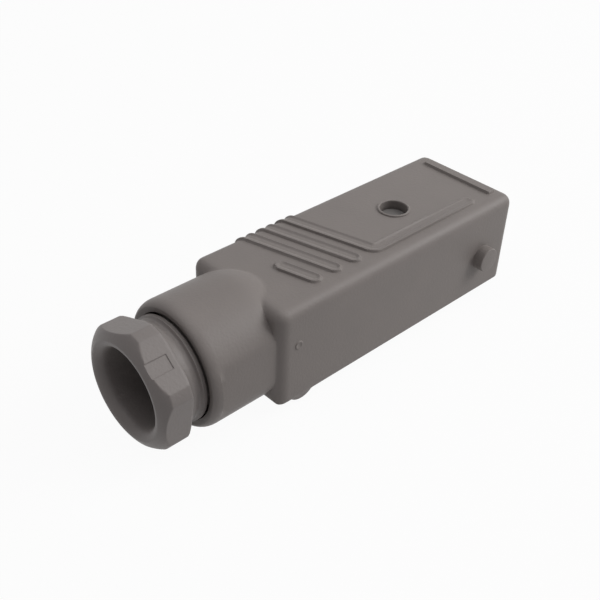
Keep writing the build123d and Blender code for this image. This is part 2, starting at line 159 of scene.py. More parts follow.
def soft_max(a, b, width):
    """The larger of two values, rounded over where they differ by less than width."""
    near = np.clip(1 - np.abs(a - b) / width, 0.0, 1.0)
    return np.maximum(a, b) + near * near * width / 4


def soft_min(a, b, width):
    """The smaller of two values, rounded over where they differ by less than width."""
    return -soft_max(-a, -b, width)


def spaced(*runs):
    """Numbers from runs of (start, end, step), each run without its end but for the last."""
    parts = [np.linspace(a, b, max(2, int(round(abs(b - a) / step)) + 1))[:-1] for a, b, step in runs]
    return np.concatenate(parts + [np.array([runs[-1][1]])])


def superellipse(angle, half_y, up, down, power):
    """Radius at an angle of the curve |y/a|^n + |z/b|^n = 1, with b apart for up and down."""
    across = np.abs(np.cos(angle)) / half_y
    height = np.where(np.sin(angle) > 0, np.sin(angle) / up, -np.sin(angle) / down)
    return (across ** power + height ** power) ** (-1 / power)


def grid_mesh(points, close_rows=True):
    """(points, quads) of a surface given as an array of rows, columns and x, y, z. Each row is a
    closed ring, and the last row joins the first where the rows close."""
    rows, columns = points.shape[:2]
    row, column = np.meshgrid(np.arange(rows if close_rows else rows - 1), np.arange(columns), indexing="ij")
    next_row, next_column = (row + 1) % rows, (column + 1) % columns
    quads = np.stack([row * columns + column, next_row * columns + column,
                      next_row * columns + next_column, row * columns + next_column], axis=-1)
    return points.reshape(-1, 3), quads.reshape(-1, 4)


class Sections:
    """Rings of points round the cable axis, one after another, that close to one surface."""

    def __init__(self, angle):
        self.angle = angle
        self.rings = []

    def add(self, x, y, z):
        """A ring of points, with heights that count from the axis."""
        self.rings.append(np.stack(np.broadcast_arrays(x, y, z + AXIS_Z), axis=-1))

    def add_radius(self, x, radius):
        """A ring at x whose points lie at a radius, one for all or one each, on the angles' rays."""
        self.add(x, radius * np.cos(self.angle), radius * np.sin(self.angle))

    def shape(self):
        """The surface as (points, quads), its last ring joined to its first."""
        return grid_mesh(np.stack(self.rings))


def turned(profile, columns, place, axis):
    """A profile of (radius, height) turned round an axis: x, y = r cos t, r sin t in the axis's
    own frame, height along it. The profile's loop closes, or it begins and ends on the axis."""
    profile = np.asarray(profile, dtype=float)
    turn = np.linspace(0, FULL_TURN, columns, endpoint=False)
    local = np.stack([profile[:, :1] * np.cos(turn), profile[:, :1] * np.sin(turn),
                      np.repeat(profile[:, 1:], columns, axis=1)], axis=-1)
    spin = np.array(Vector(axis).to_track_quat("Z", "Y").to_matrix())
    off_axis = profile[0, 0] > 0 or profile[-1, 0] > 0
    return grid_mesh(local @ spin.T + np.asarray(place, dtype=float), close_rows=off_axis)


def joined(parts):
    """One (points, quads) pair from several."""
    points, quads, count = [], [], 0
    for piece_points, piece_quads in parts:
        points.append(piece_points)
        quads.append(piece_quads + count)
        count += len(piece_points)
    return np.concatenate(points), np.concatenate(quads)


def clean_mesh(name, shape):
    """A mesh from (points in mm, quads), its doubles merged and its faces turned outwards."""
    points, quads = shape
    mesh = bpy.data.meshes.new(name)
    mesh.from_pydata((points * MM).tolist(), [], quads.tolist())
    work = bmesh.new()
    work.from_mesh(mesh)
    bmesh.ops.remove_doubles(work, verts=work.verts, dist=2e-6)
    bmesh.ops.dissolve_degenerate(work, edges=work.edges, dist=1e-7)
    bmesh.ops.recalc_face_normals(work, faces=work.faces)
    work.to_mesh(mesh)
    work.free()
    return mesh


def shade_smoothly(mesh, crease):
    """Smooth shading but for edges sharper than crease degrees."""
    mesh.shade_smooth()
    mesh.set_sharp_from_angle(angle=math.radians(crease))


def link_new(name, data):
    """A new object in the scene, with a mesh, lamp or camera."""
    item = bpy.data.objects.new(name, data)
    bpy.context.scene.collection.objects.link(item)
    return item


def make_piece(name, shape, body, material, node, crease):
    """A mesh object that rides on a body and stands for a node of the frame."""
    mesh = clean_mesh(name, shape)
    mesh.materials.append(material)
    shade_smoothly(mesh, crease)
    piece = link_new(name, mesh)
    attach(piece, body)
    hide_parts(node)
    return piece


# Housing

def body_outline():
    """The body's section as points round a rounded rectangle, from the far top corner over the
    top, down the near side and back under: y, height and outward normal. Straight sides are
    lines, and corners are arcs y = c + r cos t, z = c + r sin t. The points stand closer
    together where the ribs end, where they wrap the far side, and at the rests."""
    corner_steps = 8
    rib_ends_from, rib_ends_to = -6.2, -11.1
    rests_from, wrap_from = 9.4, 3.0
    top_y, low_y = HALF_WIDTH - TOP_EDGE, HALF_WIDTH - LOW_EDGE
    top_z, low_z = TOP - TOP_EDGE, UNDERSIDE + LOW_EDGE

    def side(y, z, ny, nz):
        return np.stack(np.broadcast_arrays(y, z, ny, nz), axis=-1)

    def corner(y, z, radius, start):
        turn = np.radians(start + np.arange(corner_steps) * 90.0 / corner_steps)
        return side(y + radius * np.cos(turn), z + radius * np.sin(turn), np.cos(turn), np.sin(turn))

    top = spaced((top_y, rib_ends_from, 0.3), (rib_ends_from, rib_ends_to, 0.15), (rib_ends_to, -top_y, 0.25))
    near = spaced((top_z, low_z, 1.6))
    under = spaced((-low_y, -rests_from, 0.35), (-rests_from, rests_from, 1.6), (rests_from, low_y, 0.35))
    far = spaced((low_z, wrap_from, 1.6), (wrap_from, top_z, 0.4))
    return np.concatenate([
        side(top[:-1], TOP, 0, 1),
        corner(-top_y, top_z, TOP_EDGE, 90),
        side(-HALF_WIDTH, near[:-1], -1, 0),
        corner(-low_y, low_z, LOW_EDGE, 180),
        side(under[:-1], UNDERSIDE, 0, -1),
        corner(low_y, low_z, LOW_EDGE, 270),
        side(HALF_WIDTH, far[:-1], 1, 0),
        corner(top_y, top_z, TOP_EDGE, 0),
    ])


def rolled_over(outline, side, top, low, roll):
    """The section where the skin rolls over to an end face with radii of its own on the sides,
    the top and the underside: depth below the end face, y and height. Each point goes in by
    r (1 - cos t), and back by r (1 - sin t); a corner smaller than r closes to a sharp one."""
    y, z, ny, nz = outline.T
    radius = side * ny ** 2 + np.where(z > 0, top, low) * nz ** 2
    share = 1 - math.cos(roll)
    corner = np.where(np.abs(ny * nz) < 1e-6, np.inf, np.where(z > 0, TOP_EDGE, LOW_EDGE))
    inset = np.minimum(radius * share, corner)
    row_y = np.clip(y - ny * inset, -HALF_WIDTH + side * share, HALF_WIDTH - side * share)
    row_z = np.clip(z - nz * inset, UNDERSIDE + low * share, TOP - top * share)
    return radius * (1 - math.sin(roll)), row_y, row_z


def along_rays(angle, x, y, z):
    """A ring of points moved along itself to the rays at the given angles."""
    turn, radius = np.arctan2(z, y), np.hypot(y, z)
    x = np.interp(angle, turn, x * np.ones(len(turn)), period=FULL_TURN)
    radius = np.interp(angle, turn, radius, period=FULL_TURN)
    return x, radius * np.cos(angle), radius * np.sin(angle)


def ribs(x, y, height, width):
    """Height of the gripping ribs over the top at x, y. With d the distance to a rib's middle
    line and e = width / 2 - d, a rib is height times (s(e / ramp) - depth s((e - inset) / dish
    ramp)), s being the smooth step: its front rises on a longer ramp than its rear, and a dish
    is sunk along its middle. A short rib and two long ones are slanted lines. The frame rib
    turns a corner in an arc, runs along the body and fades to a little over half its height."""
    half = width / 2
    near_y = RIB_NEAR_END + half
    past_far_side = HALF_WIDTH + 6.0
    frame_leg, bend_zone = 40.0, 3.0
    along = np.array([math.sin(SLANT), -math.cos(SLANT)])
    across = np.array([math.cos(SLANT), math.sin(SLANT)])

    def relief(distance, forward):
        """Height at a distance from a middle line; forward is above 0 on its front side."""
        edge = half - distance
        rise = smooth_step(edge / np.where(forward > 0, RIB_FRONT_RAMP, RIB_REAR_RAMP))
        dish = smooth_step((edge - DISH_INSET) / np.where(forward > 0, DISH_FRONT_RAMP, DISH_REAR_RAMP))
        return height * rise - DISH_DEPTH * height * dish

    def middle(start, level):
        """A point of a rib's middle line."""
        return np.array([start - level * math.tan(SLANT), level]) + across * half

    def to_line(foot, length):
        """Distance to a slanted line from its foot, and how far forward of it the point is."""
        dx, dy = x - foot[0], y - foot[1]
        run = np.clip(-(dx * along[0] + dy * along[1]), 0, length)
        off_x, off_y = dx + run * along[0], dy + run * along[1]
        return np.hypot(off_x, off_y), off_x * across[0] + off_y * across[1]

    total = np.zeros(np.shape(x))
    for index, far_y in ((-1, SHORT_RIB_FAR_END - half), (0, past_far_side), (1, past_far_side)):
        start = FIRST_LONG_RIB + RIB_PITCH * index
        foot = middle(start, near_y)
        total = np.maximum(total, relief(*to_line(foot, np.hypot(*(middle(start, far_y) - foot)))))

    # The frame rib: a slanted leg from its foot, a bend about centre, and a run along the body.
    bend_x = FIRST_LONG_RIB + RIB_PITCH * 2 + half / math.cos(SLANT) - near_y * math.tan(SLANT)
    reach = FRAME_BEND * math.tan((math.pi / 2 - SLANT) / 2)
    foot = np.array([bend_x, near_y]) - along * reach
    centre = foot + across * FRAME_BEND
    leg, leg_forward = to_line(foot, frame_leg)
    run = np.hypot(x - np.clip(x, bend_x + reach, FRAME_END - half), y - near_y)
    from_centre = np.hypot(x - centre[0], y - centre[1])
    in_bend = ((x - foot[0]) * along[0] + (y - foot[1]) * along[1] > 0) & (x < bend_x + reach)
    in_bend &= from_centre < FRAME_BEND + bend_zone
    distance = np.where(in_bend, np.abs(from_centre - FRAME_BEND), np.minimum(leg, run))
    forward = np.where(in_bend, FRAME_BEND - from_centre, np.where(leg < run, leg_forward, y - near_y))
    fade = 1 - FRAME_FADE * np.clip((x - (FRAME_END - FRAME_FADE_RUN)) / FRAME_FADE_RUN, 0, 1)
    return np.maximum(total, relief(distance, forward) * fade)


def mating_bar(x, y, height):
    """Height of the bar across the top at the mating end: a ramp on the distance to a rectangle."""
    beyond = np.hypot(np.maximum(np.abs(x - BAR_X) - BAR_HALF_DEPTH, 0),
                      np.maximum(np.abs(y) - BAR_HALF_LENGTH, 0))
    return height * smooth_step((BAR_EDGE - beyond) / BAR_RAMP)


def rests(x, y, z):
    """How far the underside's points go down to the two rests under the sides: to a circle's
    arc along x, straight across, where they are over it."""
    inner_edge, outer_edge = 0.3, 0.2
    radius = (REST_CHORD ** 2 / 4 + REST_HEIGHT ** 2) / (2 * REST_HEIGHT)
    arc = np.sqrt(np.maximum(radius ** 2 - (x - REST_X) ** 2, 0)) - (radius - REST_HEIGHT)
    over = np.where(z < UNDERSIDE + LOW_EDGE, np.maximum(z - UNDERSIDE + arc, 0), 0)
    across = smooth_step((REST_OUTER - np.abs(y)) / outer_edge)
    return over * across * smooth_step((np.abs(y) - REST_INNER) / inner_edge)


def neck_radius(x, angle):
    """Radius of the neck at an angle: a round one that closes in a hemisphere inside the body,
    or less at the two flats, whose distance d gives d / |cos t|."""
    above_zero = 0.05
    inside = np.maximum(x - DOME_CENTRE, 0)
    dome = np.sqrt(np.maximum(NECK_RADIUS ** 2 - inside ** 2, 0))
    return soft_min(dome, NECK_FLAT / np.maximum(np.abs(np.cos(angle)), above_zero), FLAT_EDGE)


def outside_neck(x, y, z):
    """Points pushed out from the axis to the neck's surface where they are inside it."""
    radius = np.hypot(y, z)
    grow = soft_max(radius, neck_radius(x, np.arctan2(z, y)), NECK_FILLET) / radius
    return x, y * grow, z * grow


def add_skin(body, outline, sizes):
    """The skin from the rear face to the mating face, and the y and z of its last ring. Rings
    on the ribs lean with them: x is less by y tan(slant), times a share that fades away to both
    sides. Ribs and bar lift the points along their normals, and rests let them down."""
    past_roll = 0.05
    skin_start, skin_end = REAR_ROLL[0] + past_roll, MATING - MATING_ROLL[1] - past_roll
    lean_in, lean_until, lean_out = 8.0, 22.0, 12.5
    ribs_from, ribs_to = -14.0, 9.0
    bar_rear_to, bar_front_from = BAR_X - BAR_HALF_DEPTH, BAR_X + BAR_HALF_DEPTH
    bar_rear_from = bar_rear_to - 0.8
    wrap_far, wrap_near, top_skin = 0.5, 0.6, 0.1
    y, z, ny, nz = outline.T
    for roll in np.radians([90, 80, 70, 60, 50, 40, 30, 20, 10]):
        depth, row_y, row_z = rolled_over(outline, *REAR_ROLL, roll)
        body.add(*outside_neck(*along_rays(body.angle, BODY_BACK + depth, row_y, row_z)))
    stations = spaced((BODY_BACK + skin_start, ribs_from, 0.26), (ribs_from, ribs_to, 0.17),
                      (ribs_to, bar_rear_from, 0.42), (bar_rear_from, bar_rear_to, 0.08),
                      (bar_rear_to, bar_front_from, 0.4), (bar_front_from, skin_end, 0.08))
    leaning = smooth_step((stations - BODY_BACK - skin_start) / lean_in)
    leaning = leaning * smooth_step((lean_until - stations) / lean_out)
    wrap = np.where(y > 0, smooth_step((z - (TOP - RIB_WRAP_FAR)) / wrap_far),
                    smooth_step((z - (TOP - RIB_WRAP_NEAR)) / wrap_near))
    for station, share in zip(stations, leaning):
        x = station - share * math.tan(SLANT) * y
        lift = ribs(x, y, sizes.rib_height / MM, sizes.rib_width / MM) * wrap
        lift = lift + mating_bar(x, y, sizes.bar_height / MM) * (z > TOP - top_skin)
        body.add(*outside_neck(x, y + ny * lift, z + nz * lift - rests(x, y, z)))
    for roll in np.radians([0, 15, 30, 45, 60, 75, 90]):
        depth, row_y, row_z = rolled_over(outline, *MATING_ROLL, roll)
        x, row_y, row_z = along_rays(body.angle, MATING - depth, row_y, row_z)
        body.add(x, row_y, row_z)
    return row_y, row_z


def add_inside(body, skin_y, skin_z):
    """From the skin's last ring over the mating face, back through the socket, the cable room
    and the gland's bores to the counterbore. Socket and room are superellipses."""
    socket_power, room_power = 20, 16
    rim_share, ring_step = 0.6, 3.0
    socket = superellipse(body.angle, SOCKET_HALF_WIDTH, INSIDE_UP, INSIDE_DOWN, socket_power)
    room = superellipse(body.angle, ROOM_HALF_WIDTH, INSIDE_UP, INSIDE_DOWN, room_power)
    rim_y = (socket + SOCKET_CHAMFER) * np.cos(body.angle)
    rim_z = (socket + SOCKET_CHAMFER) * np.sin(body.angle)
    body.add(MATING, skin_y * (1 - rim_share) + rim_y * rim_share,
             skin_z * (1 - rim_share) + rim_z * rim_share)
    body.add(MATING, rim_y, rim_z)
    for x in spaced((MATING - SOCKET_CHAMFER, SOCKET_END, ring_step)):
        body.add_radius(x, socket)
    for x in spaced((SOCKET_END, ROOM_END, ring_step)):
        body.add_radius(x, room)
    for x, radius in ((ROOM_END, CABLE_HOLE), (SEAL_SEAT, CABLE_HOLE), (SEAL_SEAT, SEAL_BORE),
                      (COUNTERBORE_END, SEAL_BORE), (COUNTERBORE_END, COUNTERBORE)):
        body.add_radius(x, radius)


def add_neck(body):
    """The neck's mouth with its lip, a quarter of an ellipse, and the neck up to the body."""
    mouth = ((0.4, COUNTERBORE), (0.2, COUNTERBORE + 0.08), (0.08, 12.4), (0.01, 12.8))
    for x, radius in mouth:
        body.add_radius(NECK_MOUTH + x, radius)
    for roll in np.radians([6, 16, 28, 40, 52, 64, 76]):
        body.add_radius(NECK_MOUTH + LIP_LENGTH * (1 - math.cos(roll)),
                        NECK_RADIUS - LIP_HEIGHT * (1 - math.sin(roll)))
    for x in spaced((NECK_MOUTH + LIP_LENGTH, BODY_BACK, 1.0)):
        body.add_radius(x, neck_radius(x, body.angle))


def housing_shape(sizes):
    """The housing as one closed loop of sections: over the skin from the rear face to the mating
    face, back through the socket, the cable room and the gland bores, and along the neck."""
    outline = body_outline()
    body = Sections(np.arctan2(outline[:, 1], outline[:, 0]))
    skin_y, skin_z = add_skin(body, outline, sizes)
    add_inside(body, skin_y, skin_z)
    add_neck(body)
    return body.shape()


def locking_peg(side):
    """A round peg on one side, its end's edge a quarter circle."""
    roll = np.radians(np.arange(0, 91, 15))
    profile = [(0.0, PEG_ROOT), (PEG_RADIUS, PEG_ROOT), (PEG_RADIUS, 0.0)]
    profile += [(PEG_RADIUS - PEG_EDGE * (1 - math.cos(t)), PEG_HEIGHT - PEG_EDGE * (1 - math.sin(t)))
                for t in roll]
    profile += [(0.0, PEG_HEIGHT)]
    return turned(profile, columns=48, place=(PEG_X, side * HALF_WIDTH, PEG_Z), axis=(0, side, 0))


def hole_rim():
    """The release hole's rim, whose top is half an ellipse."""
    shoulder = 0.15
    roll = np.radians(np.arange(0, 181, 15))
    rim = [(HOLE_RIM_RADIUS - HOLE_RIM_HALF_WIDTH, HOLE_RIM_ROOT)]
    rim += [(HOLE_RIM_RADIUS - HOLE_RIM_HALF_WIDTH * math.cos(t), shoulder + HOLE_RIM_HEIGHT * math.sin(t))
            for t in roll]
    rim += [(HOLE_RIM_RADIUS + HOLE_RIM_HALF_WIDTH, HOLE_RIM_ROOT)]
    return turned(rim, columns=72, place=HOLE_PLACE, axis=(0, 0, 1))


def gate_mark():
    """A low ring on the near side, where the plastic came into the mould."""
    profile = [(0.0, -0.3), (1.05, -0.3), (1.05, 0.0), (0.98, 0.12), (0.86, 0.19), (0.72, 0.19),
               (0.56, 0.1), (0.4, 0.02), (0.0, 0.02)]
    return turned(profile, columns=32, place=GATE_PLACE, axis=(0, -1, 0))


def build_housing(sizes, material):
    """The housing's shell with the hole cut, and its pegs, the hole's rim and the gate mark."""
    piece = make_piece("housing_moulding", housing_shape(sizes), "root", material,
                       "housing", HOUSING_CREASE)
    cut_hole(piece)
    add_parts(piece, [locking_peg(-1), locking_peg(1), hole_rim(), gate_mark()])


def cut_hole(piece):
    """The release hole through the roof: a plug's difference, worked out once and kept."""
    above = 2.0
    profile = [(0.0, -HOLE_DEPTH), (HOLE_RADIUS, -HOLE_DEPTH), (HOLE_RADIUS, above), (0.0, above)]
    shape = turned(profile, columns=72, place=HOLE_PLACE, axis=(0, 0, 1))
    plug = link_new("hole_plug", clean_mesh("hole_plug", shape))
    cut = piece.modifiers.new("Hole", "BOOLEAN")
    cut.operation = "DIFFERENCE"
    cut.solver = "EXACT"
    cut.object = plug
    graph = bpy.context.evaluated_depsgraph_get()
    result = bpy.data.meshes.new_from_object(piece.evaluated_get(graph), depsgraph=graph)
    piece.modifiers.clear()
    piece.data = result
    bpy.data.objects.remove(plug)


def add_parts(piece, parts):
    """Adds closed parts to the housing's mesh."""
    work = bmesh.new()
    work.from_mesh(piece.data)
    work.from_mesh(clean_mesh("extra", joined(parts)))
    work.to_mesh(piece.data)
    work.free()
    shade_smoothly(piece.data, HOUSING_CREASE)


# Gland nut

def soft_hexagon(angle, power):
    """Radius at an angle of a hexagon with slightly rounded corners: the flats' distances joined
    by a p-norm, flat (sum over flats of cos(t - t_flat)^n)^(-1/n)."""
    flats = NUT_TURN + math.pi / 6 + np.arange(6) * math.pi / 3
    reach = np.maximum(np.cos(angle[:, None] - flats[None, :]), 0)
    return NUT_FLAT * np.sum(reach ** power, axis=1) ** (-1 / power)


def blank_panel(x, across):
    """Depth of the shallow blank panel on one flat, open towards the face: a product of two steps."""
    beside = smooth_step((PANEL_HALF_WIDTH - np.abs(across)) / PANEL_STEP + 0.5)
    return PANEL_DEPTH * beside * smooth_step((PANEL_END - x) / PANEL_STEP + 0.5)


def nut_angles():
    """The angles of a ring's points: six equal sectors, each about a flat, with the points closer
    together at the panel's edges and where the flat meets the corner."""
    panel_from, panel_to, corner_from, corner_to = 6.4, 8.2, 23.4, 25.2
    half = spaced((0.0, panel_from, 1.6), (panel_from, panel_to, 0.3), (panel_to, corner_from, 1.9),
                  (corner_from, corner_to, 0.3), (corner_to, 30.0, 1.6))
    sector = np.radians(np.concatenate([-half[:0:-1], half[:-1]]))
    return (NUT_TURN + math.pi / 2 + np.arange(6)[:, None] * math.pi / 3 + sector[None, :]).ravel()


def add_nut_outside(nut, hexagon):
    """The face, the hexagon and its rounded back edge. The face is an arc from its own edge to
    the corners' circle: a straight line plus 4 b t (1 - t) at right angles to it."""
    panel_sector, panel_fade, fade_offset = 0.6, 0.3, 0.8
    after_face, before_back = 0.12, 0.7
    back_run, back_slope, back_edge = 0.5, 1.8, 0.2
    facet = (nut.angle - NUT_TURN - math.pi / 2 + math.pi) % FULL_TURN - math.pi
    across = NUT_FLAT * np.tan(np.clip(facet, -panel_sector, panel_sector))
    rise, depth = NUT_CORNER - NUT_FACE, CORNER_X - NUT_FRONT
    along = spaced((0.0, 1.0, 0.03))
    bulge = 4 * FACE_BULGE * along * (1 - along)
    length = math.hypot(depth, rise)
    face_x = NUT_FRONT + along * depth - bulge * rise / length
    face_radius = NUT_FACE + along * rise + bulge * depth / length
    for x, radius in zip(face_x, face_radius):
        sunk = blank_panel(x, across) * smooth_step((radius - hexagon) / panel_fade + fade_offset)
        nut.add_radius(x, soft_min(hexagon, radius, FACE_EDGE) - sunk)
    for x in spaced((CORNER_X + after_face, NUT_BACK - before_back, 0.14)):
        nut.add_radius(x, hexagon - blank_panel(x, across))
    for x, drop in ((0.4, 0.01), (0.25, 0.05), (0.1, 0.14), (0.0, 0.32)):
        corner = NUT_CORNER - back_slope * max(back_run - x, 0.0)
        nut.add_radius(NUT_BACK - x, soft_min(hexagon, corner, back_edge) - drop)


def add_collar(nut):
    """The collar with a cove and a thin rim."""
    cove_and_rim = ((-2.4, COLLAR_RADIUS), (-1.9, 11.1), (-1.4, 10.92), (-1.0, 10.85), (-0.72, 11.0),
                    (-0.58, 11.3), (-0.45, RIM_RADIUS), (0.32, RIM_RADIUS), (0.42, 11.42), (0.45, 11.2),
                    (0.45, 10.0))
    nut.add_radius(NUT_BACK, COLLAR_RADIUS + 0.15)
    nut.add_radius(NUT_BACK + 0.12, COLLAR_RADIUS)
    for x, radius in cove_and_rim:
        nut.add_radius(RIM_X + x, radius)


def add_thread(nut):
    """The threaded shank: a groove that goes round once for every pitch, its phase
    x / pitch - t / 2 pi, and that runs out at both ends."""
    flank, run_out, margin = 0.85, 0.8, 0.05
    for x in spaced((THREAD_START, THREAD_END, 0.16)):
        phase = (x / THREAD_PITCH - nut.angle / FULL_TURN) % 1.0
        groove = smooth_step((1 - np.abs(phase - 0.5) * 2) / flank)
        ends = smooth_step((x - THREAD_START - margin) / run_out)
        ends = ends * smooth_step((THREAD_END - margin - x) / run_out)
        nut.add_radius(RIM_X + x, THREAD_RADIUS - THREAD_DEPTH * groove * ends)


def gland_nut_shape():
    """The nut as one closed loop of sections: domed face that turns the hexagon's corners down,
    hexagon, collar with a cove and a thin rim, threaded shank, and the bore with its mouth, a
    quarter of an ellipse."""
    nut = Sections(nut_angles())
    hexagon = soft_min(soft_hexagon(nut.angle, power=300), NUT_CORNER, CORNER_EDGE)
    add_nut_outside(nut, hexagon)
    add_collar(nut)
    add_thread(nut)
    nut.add_radius(RIM_X + THREAD_END, NUT_BORE)
    for x in (11.0, 6.0, BORE_MOUTH_DEPTH):
        nut.add_radius(NUT_FRONT + x, NUT_BORE)
    for roll in np.radians([12, 24, 36, 48, 60, 75, 90]):
        nut.add_radius(NUT_FRONT + BORE_MOUTH_DEPTH * (1 - math.sin(roll)),
                       NUT_BORE + BORE_MOUTH_FLARE * (1 - math.cos(roll)))
    return nut.shape()


# Materials

class Value:
    """A node socket that holds a number, so that sums and products are written as in Python."""

    def __init__(self, shader, socket):
        self.shader = shader
        self.socket = socket

    def combine(self, operation, other, turned_round=False):
        """A Math node on this value and another value or number."""
        pair = (other, self) if turned_round else (self, other)
        return self.shader.node("ShaderNodeMath", {"operation": operation}, {0: pair[0], 1: pair[1]})

    def __add__(self, other):
        return self.combine("ADD", other)

    __radd__ = __add__

    def __sub__(self, other):
        return self.combine("SUBTRACT", other)

    def __rsub__(self, other):
        return self.combine("SUBTRACT", other, True)

    def __mul__(self, other):
        return self.combine("MULTIPLY", other)

    __rmul__ = __mul__


class Shader:
    """The nodes of a material or of the world, each added by one call."""

    def __init__(self, owner):
        self.owner = owner
        owner.use_nodes = True
        self.tree = owner.node_tree
        self.tree.nodes.clear()

    def node(self, kind, settings, sockets, output=0):
        """Adds a node with its settings, gives its sockets values or links, and returns an output."""
        made = self.tree.nodes.new(kind)
        for key, value in settings.items():
            setattr(made, key, value)
        for key, value in sockets.items():
            if isinstance(value, Value):
                self.tree.links.new(value.socket, made.inputs[key])
            else:
                made.inputs[key].default_value = value
        return Value(self, made.outputs[output])

    def place(self):
        """The point on the object, in metres."""
        return self.node("ShaderNodeTexCoord", {}, {}, "Object")

    def noise(self, place, scale, detail=2.0, roughness=0.5):
        """A cloudy number about 0.5, with scale clouds to a metre."""
        return self.node("ShaderNodeTexNoise", {}, {"Vector": place, "Scale": scale, "Detail": detail,
                                                    "Roughness": roughness})

    def ramp(self, value, low, high, start=0.0, end=1.0):
        """A number carried from low-high to start-end, clamped."""
        return self.node("ShaderNodeMapRange", {}, {"Value": value, "From Min": low, "From Max": high,
                                                    "To Min": start, "To Max": end})

    def mix(self, factor, first, second):
        """Two colours mixed by a number. The node's sockets for colours are 6, 7 and output 2."""
        return self.node("ShaderNodeMix", {"data_type": "RGBA"}, {0: factor, 6: first, 7: second}, 2)

    def mix_shaders(self, factor, first, second):
        return self.node("ShaderNodeMixShader", {}, {0: factor, 1: first, 2: second})

    def edges(self, radius):
        """How far the surface turns within a radius: 0 on flats, towards 1 on sharp edges."""
        rounded = self.node("ShaderNodeBevel", {"samples": 6}, {"Radius": radius})
        plain = self.node("ShaderNodeNewGeometry", {}, {}, "Normal")
        dot_product = {"operation": "DOT_PRODUCT"}
        return 1 - self.node("ShaderNodeVectorMath", dot_product, {0: rounded, 1: plain}, "Value")

    def bump(self, height, distance):
        """The normal bent by a relief that is distance metres high where height is 1."""
        return self.node("ShaderNodeBump", {}, {"Height": height, "Distance": distance, "Strength": 1.0})

    def seen(self):
        """1 for rays from the camera, mirrors and glass, 0 for the rest."""
        rays = self.tree.nodes.new("ShaderNodeLightPath").outputs
        camera, glossy, through = (Value(self, rays["Is %s Ray" % kind])
                                   for kind in ("Camera", "Glossy", "Transmission"))
        return (camera + glossy + through).combine("MINIMUM", 1.0)

    def finish(self, **sockets):
        """The Principled shader, its sockets named with _ for a space, and the finished material."""
        named = {key.replace("_", " "): value for key, value in sockets.items()}
        return self.output(self.node("ShaderNodeBsdfPrincipled", {}, named))

    def output(self, surface, kind="ShaderNodeOutputMaterial"):
        """Links a shader to the output and returns the material or world."""
        end = self.tree.nodes.new(kind)
        self.tree.links.new(surface.socket, end.inputs["Surface"])
        return self.owner


def shade(colour, factor):
    """A colour made lighter or darker, as four numbers."""
    return tuple(min(1.0, c * factor) for c in colour[:3]) + (1.0,)


def moulded_plastic(name, colour, grain, gloss):
    """Eroded-tool plastic: broad mottling, pits and specks with a depth of grain, in metres, and
    edges made paler by a painted highlight. Its roughness lies about gloss."""
    shader = Shader(bpy.data.materials.new(name))
    place = shader.place()
    cloud = shader.noise(place, scale=90.0, detail=3.0)
    speck = shader.noise(place, scale=2600.0, roughness=0.6)
    tint = shader.mix(shader.ramp(cloud, 0.3, 0.7), shade(colour, 0.955), shade(colour, 1.05))
    # Painted highlight: the base colour is made paler along the edges, standing in for the light that falls
    # on them.
    edge_highlight = shader.ramp(shader.edges(radius=0.0006), 0.02, 0.3, start=0.0, end=0.35)
    tint = shader.mix(edge_highlight, tint, shade(colour, 1.35))
    pits = shader.node("ShaderNodeTexVoronoi", {"feature": "SMOOTH_F1"}, {"Vector": place, "Scale": 1900.0})
    height = pits * 0.6 + speck * 0.4
    rough = shader.ramp(cloud * 0.6 + speck * 0.4, 0.3, 0.7, start=gloss - 0.05, end=gloss + 0.07)
    return shader.finish(Base_Color=tint, Roughness=rough, Specular_IOR_Level=0.3,
                         Normal=shader.bump(height, grain))


def bright_metal(name, colour, brushed, gloss):
    """Plated or turned metal: fine strokes, as many to a metre along x, y and z as brushed says,
    and darker, duller patches. Its roughness lies about gloss."""
    shader = Shader(bpy.data.materials.new(name))
    place = shader.place()
    stretched = shader.node("ShaderNodeMapping", {}, {"Vector": place, "Scale": brushed})
    strokes = shader.noise(stretched, scale=1.0, detail=3.0, roughness=0.6)
    tarnish = shader.noise(place, scale=420.0, detail=4.0, roughness=0.6)
    tint = shader.mix(shader.ramp(tarnish, 0.35, 0.75), shade(colour, 1.0), shade(colour, 0.86))
    rough = shader.ramp(strokes * 0.5 + tarnish * 0.5, 0.3, 0.7, start=gloss - 0.06, end=gloss + 0.12)
    relief = shader.bump(strokes, distance=0.0000012)
    return shader.finish(Base_Color=tint, Metallic=1.0, Roughness=rough, Normal=relief)


def soft_rubber(name, colour):
    """Matte elastomer with a faint bloom and a fine grain."""
    shader = Shader(bpy.data.materials.new(name))
    place = shader.place()
    bloom = shader.noise(place, scale=260.0, detail=4.0, roughness=0.6)
    grain = shader.noise(place, scale=3500.0)
    tint = shader.mix(shader.ramp(bloom, 0.45, 0.75), shade(colour, 1.0), shade(colour, 2.0))
    rough = shader.ramp(bloom, 0.3, 0.7, start=0.62, end=0.8)
    return shader.finish(Base_Color=tint, Roughness=rough, Normal=shader.bump(grain, distance=0.00002))


def pale_floor(name, colour):
    """Pale paper with a soft shadow, all but white where the camera, a mirror or glass sees it."""
    shader = Shader(bpy.data.materials.new(name))
    fibre = shader.noise(shader.place(), scale=600.0, detail=4.0)
    tint = shader.mix(shader.ramp(fibre, 0.3, 0.7), shade(colour, 0.985), shade(colour, 1.0))
    paper = shader.node("ShaderNodeBsdfDiffuse", {}, {"Color": tint})
    glow = shader.node("ShaderNodeEmission", {}, {"Color": (1.0, 1.0, 1.0, 1.0), "Strength": 1.0})
    return shader.output(shader.mix_shaders(shader.seen() * 0.95, paper, glow))


